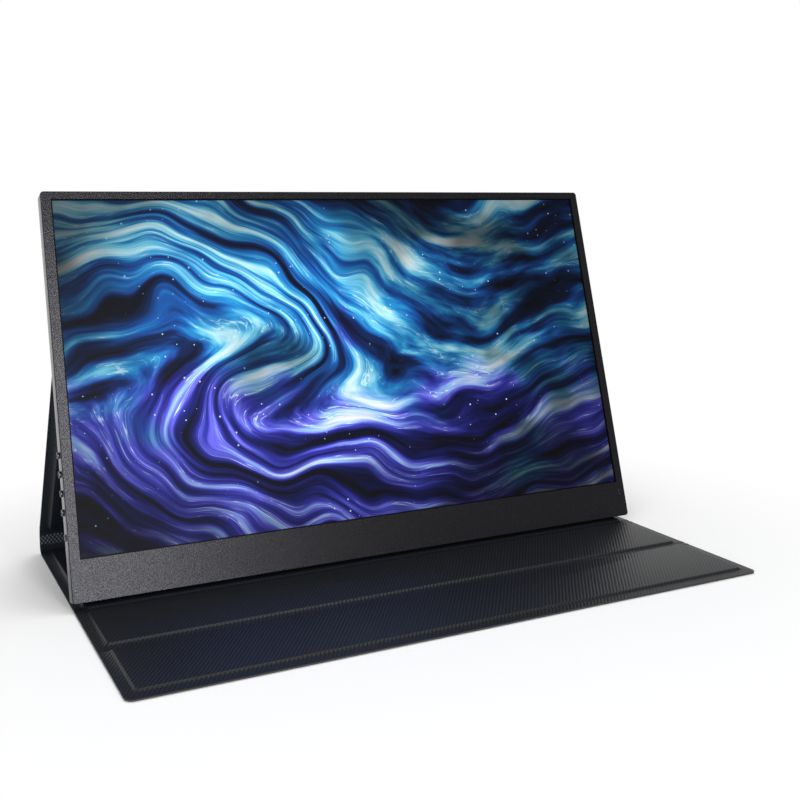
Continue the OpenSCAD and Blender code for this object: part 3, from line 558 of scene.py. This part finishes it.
# A flat rectangle in the stretch's own axes, with the corners of its free ends rounded
def startSheet(name, stretch, low, high, level):
    piece = startPiece(name, bpy.ops.mesh.primitive_plane_add, size=1, location=(0, (low + high) / 2, level))
    piece.scale = (coverWidth, high - low, 1)
    bpy.ops.object.transform_apply(location=True, rotation=True, scale=True)
    bpy.ops.object.mode_set(mode="EDIT")
    free = [y for y, isFree in ((low, stretch["freeStart"]), (high, stretch["freeEnd"])) if isFree]
    if free:
        choose(piece, "VERT", lambda corners, part: abs(corners[0].y - free[0]) < touching)
        bpy.ops.mesh.bevel(offset=cover["cornerRadius"], offset_type="OFFSET", segments=8, affect="VERTICES")
    return piece


def cutAcross(xs, ys):
    for value, normal in [(x, (1, 0, 0)) for x in xs] + [(y, (0, 1, 0)) for y in ys]:
        bpy.ops.mesh.select_all(action="SELECT")
        bpy.ops.mesh.bisect(plane_co=(value * normal[0], value * normal[1], 0), plane_no=normal)


# Raises the middle of a sheet over its board, with a sloping wall and soft corners
def raiseMiddle(piece, half, low, high, rise, run, level):
    up = abs(rise) / 2
    top = level + rise

    def inMiddle(corners, part):
        return all(abs(c.x) < half + touching and low - touching < c.y < high + touching for c in corners)

    def atCorner(corners, part):
        a, b = corners
        return (abs(a.z - b.z) > up and abs(abs(a.x) - abs(b.x)) > run / 2 and abs(a.y - b.y) > run / 2)

    def roundTop(corners, part):
        return (all(abs(c.z - top) < touching for c in corners)
                and any(abs(v.co.z - top) > up for f in part.link_faces for v in f.verts))

    choose(piece, "FACE", inMiddle)
    bpy.ops.mesh.inset(thickness=run, depth=rise, use_boundary=True, use_even_offset=True)
    choose(piece, "EDGE", atCorner)
    bpy.ops.mesh.bevel(offset=cover["padCorner"], offset_type="OFFSET", segments=4, affect="EDGES")
    choose(piece, "EDGE", roundTop)
    bpy.ops.mesh.bevel(offset=min(cover["padRound"], abs(rise)), offset_type="OFFSET", segments=3,
                       affect="EDGES")
    bpy.ops.mesh.select_mode(type="VERT")


# Where the flat sheet starts and ends; the strips of the folds carry it on
def flatReach(stretch):
    return (max(0.0, stretch["bendStart"] - cover["lap"]),
            stretch["length"] - max(0.0, stretch["bendEnd"] - cover["lap"]))


# Where the lining over a board starts and ends, and where its padded middle does
def boardReach(stretch):
    startBorder = cover["kneeBorder"] if stretch["name"] == "leg" else cover["foldBorder"]
    freeFoot = cover["freeBorder"] - cover["slope"]
    low = 0.0 if stretch["freeStart"] else startBorder - cover["slope"]
    high = stretch["length"] - (0.0 if stretch["freeEnd"] else cover["foldBorder"] - cover["slope"])
    padLow = freeFoot if stretch["freeStart"] else low
    padHigh = high - freeFoot if stretch["freeEnd"] else high
    return low, high, padLow, padHigh


def makeLining(stretch):
    hasBoard = stretch["name"] != "spine"  # the spine is soft
    low, high, padLow, padHigh = boardReach(stretch) if hasBoard else flatReach(stretch) * 2
    half = coverWidth / 2 - cover["sideBorder"] + cover["slope"]
    level = thin / 2

    def inRim(corners, part):
        x, y, z = corners[0]
        return part.is_boundary and z < level + touching and (
            abs(x) > half + touching
            or (stretch["freeStart"] and y < padLow - touching)
            or (stretch["freeEnd"] and y > padHigh + touching))

    piece = startSheet(stretch["name"] + "Lining", stretch, low, high, level)
    cutAcross((-half, half), [y for y in (padLow, padHigh) if low < y < high])
    if hasBoard:
        raiseMiddle(piece, half, padLow, padHigh, cover["board"], cover["slope"], level)
    choose(piece, "VERT", inRim)
    bpy.ops.transform.translate(value=(0, 0, -cover["edgePress"]))
    bpy.ops.object.mode_set(mode="OBJECT")
    applyModifier(piece, "SOLIDIFY", thickness=cover["lining"], offset=-1.0)
    placePiece(piece, stretch["axes"], lambda corner: stretch["from"] + corner.y,
               linings.get(stretch["name"], twill))
    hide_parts(stretch["name"] + "_lining")
    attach(piece, stretch["body"])


def makeSkin(stretch):
    low, high = flatReach(stretch)
    startBorder = max(cover["foldBorder"], stretch["bendStart"])
    endBorder = max(cover["foldBorder"], stretch["bendEnd"])
    padLow = cover["freeBorder"] if stretch["freeStart"] else startBorder
    padHigh = stretch["length"] - (cover["freeBorder"] if stretch["freeEnd"] else endBorder)
    half = coverWidth / 2 - cover["sideBorder"]
    level = cover["skinPress"] - thin / 2
    piece = startSheet(stretch["name"] + "Skin", stretch, low, high, level)
    bpy.ops.mesh.select_all(action="SELECT")
    bpy.ops.mesh.flip_normals()
    if stretch["name"] != "spine":
        cutAcross((-half, half), (padLow, padHigh))
        raiseMiddle(piece, half, padLow, padHigh, cover["skinPress"], cover["skinSlope"], level)
    bpy.ops.object.mode_set(mode="OBJECT")
    applyModifier(piece, "SOLIDIFY", thickness=cover["skin"] - cover["skinPress"], offset=-1.0)
    placePiece(piece, stretch["axes"], lambda corner: stretch["from"] + corner.y, leather)
    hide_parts(stretch["name"] + "_skin")
    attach(piece, stretch["body"])


for stretch in stretches:
    makeSkin(stretch)
    makeLining(stretch)
print("cover panels:", ", ".join(s["name"] for s in stretches))


# The strip of a flat fold. A lining, which lies above the middle of the sheet, sinks in along it.
def layStrip(name, middle, bend, reach):
    piece = startPiece(name, bpy.ops.mesh.primitive_grid_add, size=1, x_subdivisions=2, y_subdivisions=24,
                       location=(0, 0, middle))
    piece.scale = (coverWidth, 2 * reach, 1)
    bpy.ops.object.transform_apply(location=True, rotation=True, scale=True)
    bpy.ops.object.mode_set(mode="EDIT")
    if middle > 0:
        choose(piece, "VERT", lambda corners, part: abs(corners[0].y) < touching)
        bpy.ops.transform.translate(value=(0, 0, -cover["foldDip"]), use_proportional_edit=True,
                                    proportional_edit_falloff="SMOOTH", proportional_size=bend)
    return piece


# The strip of a standing fold: one tail is spun round the inside of the fold and carried on as the other
def spinStrip(name, middle, bend, reach, angle):
    piece = startPiece(name, bpy.ops.mesh.primitive_plane_add, size=1,
                       location=(0, -(reach + bend) / 2, middle))
    piece.scale = (coverWidth, reach - bend, 1)
    bpy.ops.object.transform_apply(location=True, rotation=True, scale=True)
    bpy.ops.object.mode_set(mode="EDIT")
    choose(piece, "EDGE", lambda corners, part: all(abs(c.y + bend) < touching for c in corners))
    radius = math.copysign(bend / math.tan(abs(angle) / 2), angle)
    bpy.ops.mesh.spin(steps=14, angle=angle, center=(0, -bend, radius), axis=(-1, 0, 0))
    onward = (0, math.cos(angle) * (reach - bend), math.sin(angle) * (reach - bend))
    bpy.ops.mesh.extrude_edges_move(TRANSFORM_OT_translate={"value": onward})
    bpy.ops.mesh.select_all(action="SELECT")
    bpy.ops.mesh.remove_doubles(threshold=touching)
    bpy.ops.mesh.normals_make_consistent(inside=False)
    return piece


# How far a corner of a strip lies from its fold along the unrolled cover
def alongStrip(corner, bend, angle):
    if abs(angle) < flatAngle:
        return corner.y
    inward = corner.z * math.copysign(1, angle)
    radius = bend / math.tan(abs(angle) / 2)
    turned = math.atan2(corner.y + bend, radius - inward) / abs(angle)
    return (2 * min(max(turned, 0.0), 1.0) - 1) * bend


# One layer of the sheet across a fold
def makeStrip(fold, before, after, layer, material):
    name, low, high = layer
    bend = bends[fold]
    reach = bend + cover["tail"]
    axis = foldAt[fold]
    axes = stretchAxes(axis, axis + before["axes"].col[1].xyz)
    onward = axes.to_3x3().inverted() @ after["axes"].col[1].xyz
    angle = math.atan2(onward.z, onward.y)
    pieceName = fold.replace("_fold", "") + name
    if abs(angle) < flatAngle:
        piece = layStrip(pieceName, (low + high) / 2, bend, reach)
    else:
        piece = spinStrip(pieceName, (low + high) / 2, bend, reach, angle)
    bpy.ops.object.mode_set(mode="OBJECT")
    applyModifier(piece, "SOLIDIFY", thickness=high - low, offset=0.0)
    placePiece(piece, axes, lambda corner: after["from"] + alongStrip(corner, bend, angle), material)
    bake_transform(piece)


# Each layer's name, with the heights that it fills over the middle of the thin sheet
parting = cover["skin"] - thin / 2
skinLayer = ("FoldSkin", cover["skinPress"] + cover["skinTuck"] - thin / 2, parting)
liningLayer = ("FoldLining", parting, thin / 2 - cover["liningTuck"])
for i, fold in enumerate(folds):
    before, after = stretches[i], stretches[i + 1]
    makeStrip(fold, before, after, skinLayer, leather)
    makeStrip(fold, before, after, liningLayer, linings.get(fold, twill))
print("fold strips:", 2 * len(folds))


studio = {
    "focalPx": 1094.2,
    "centrePx": (402.3, 304.6),
    "azimuth": math.radians(-26.848),
    "elevation": math.radians(4.967),
    "roll": math.radians(-0.324),
    "eye": Vector((-0.2718, -0.5602, 0.2053)),
    "imagePx": 800,
    "sensor": 36.0,
    "roomLight": 0.5,
    "darkShare": 0.2,  # how bright the ceiling and the room behind the camera are in reflections
    "floorWidth": 12,
    "floorFade": (160.0, 360.0),  # mm from the middle over which the floor turns plain white
}
lamps = {  # sizes are width and height, power is in watts
    "frontLamp": {"place": (0.05, -1.4, 0.5), "target": (0, 0, 0.08), "size": (0.2, 0.95), "power": 9},
    "leftLamp": {"place": (-1.1, -1.0, 0.42), "target": (-0.1, 0, 0.05), "size": (0.6, 0.6), "power": 8},
    "topLamp": {"place": (0.2, 0.1, 1.7), "target": (0, 0, 0), "size": (0.9, 0.9), "power": 11},
}


def addCamera():
    azimuth, elevation, roll = studio["azimuth"], studio["elevation"], studio["roll"]
    level = math.cos(elevation)
    ahead = Vector((-math.sin(azimuth) * level, math.cos(azimuth) * level, -math.sin(elevation)))
    right = ahead.cross(Vector((0, 0, 1))).normalized()
    up = right.cross(ahead)
    across = right * math.cos(roll) + up * math.sin(roll)
    upright = up * math.cos(roll) - right * math.sin(roll)
    lens = bpy.data.cameras.new("camera")
    lens.sensor_width = studio["sensor"]
    lens.lens = studio["focalPx"] * studio["sensor"] / studio["imagePx"]
    lens.shift_x = 0.5 - studio["centrePx"][0] / studio["imagePx"]
    lens.shift_y = studio["centrePx"][1] / studio["imagePx"] - 0.5
    camera = bpy.data.objects.new("camera", lens)
    camera.matrix_world = axesAt(studio["eye"], across, upright, -ahead)
    bpy.context.scene.collection.objects.link(camera)
    bpy.context.scene.camera = camera


def addLamp(name, place, target, size, power):
    light = bpy.data.lights.new(name, "AREA")
    light.shape = "RECTANGLE"
    light.size, light.size_y = size
    light.energy = power
    lamp = bpy.data.objects.new(name, light)
    lamp.location = place
    lamp.rotation_euler = (Vector(target) - Vector(place)).to_track_quat("-Z", "Y").to_euler()
    bpy.context.scene.collection.objects.link(lamp)


# White to look at. In reflections it is white round the object and dim overhead and in the room in front of
# it, where the camera stands. All else gets a moderate even light.
def lightWorld():
    world = bpy.data.worlds.new("paleRoom")
    bpy.context.scene.world = world
    world.use_nodes = True
    tree = world.node_tree
    path = addNode(tree, "LightPath")
    way = addNode(tree, "SeparateXYZ", {}, {0: addNode(tree, "TexCoord").outputs["Generated"]})
    shares = {}
    for axis, dimFrom, whiteFrom in (("Z", 0.7, 0.35), ("Y", -0.4, 0.1)):
        shares[axis] = addNode(tree, "MapRange", smooth, {
            "Value": way.outputs[axis], "From Min": dimFrom, "From Max": whiteFrom,
            "To Min": studio["darkShare"], "To Max": 1.0})
    mirrored = addNode(tree, "Math", {"operation": "MINIMUM"}, {0: shares["Z"], 1: shares["Y"]})
    seen = addNode(tree, "Math", {"operation": "MAXIMUM"},
                   {0: path.outputs["Is Camera Ray"], 1: path.outputs["Is Transmission Ray"]})
    strength = addNode(tree, "Mix", {},
                       {0: path.outputs["Is Glossy Ray"], 2: studio["roomLight"], 3: mirrored})
    strength = addNode(tree, "Mix", {}, {0: seen, 2: strength, 3: 1.0})
    back = tree.nodes["Background"]
    back.inputs["Color"].default_value = (1, 1, 1, 1)
    tree.links.new(strength.outputs[0], back.inputs["Strength"])


# Matt white paper floor that keeps the shadow near the object and runs out to plain white
def layFloor():
    floor = startPiece("floor", bpy.ops.mesh.primitive_plane_add, size=studio["floorWidth"],
                       location=(0, 0, -0.2 * mm))
    bpy.ops.object.transform_apply(location=True, rotation=True, scale=True)
    material, tree, shader, inMm = startMaterial("mattPaper", {"Base Color": "#f6f6f6", "Roughness": 0.9})
    fadeStart, fadeEnd = studio["floorFade"]
    spread = addNode(tree, "VectorMath", {"operation": "LENGTH"}, {0: inMm}).outputs["Value"]
    away = addNode(tree, "MapRange", smooth, {"Value": spread, "From Min": fadeStart, "From Max": fadeEnd})
    path = addNode(tree, "LightPath")
    seen = addNode(tree, "Math", {"operation": "MAXIMUM"},
                   {0: path.outputs["Is Camera Ray"], 1: path.outputs["Is Glossy Ray"]})
    share = addNode(tree, "Math", {"operation": "MULTIPLY"}, {0: away, 1: seen})
    white = addNode(tree, "Emission", {}, {"Color": (1, 1, 1, 1), "Strength": 1.0})
    mixed = addNode(tree, "MixShader", {}, {0: share, 1: shader, 2: white})
    tree.links.new(mixed.outputs[0], tree.nodes["Material Output"].inputs["Surface"])
    floor.data.materials.append(material)


addCamera()
for name, lamp in lamps.items():
    addLamp(name, **lamp)
lightWorld()
layFloor()
bpy.context.scene.view_settings.view_transform = "Standard"
print("camera, lamps and floor")
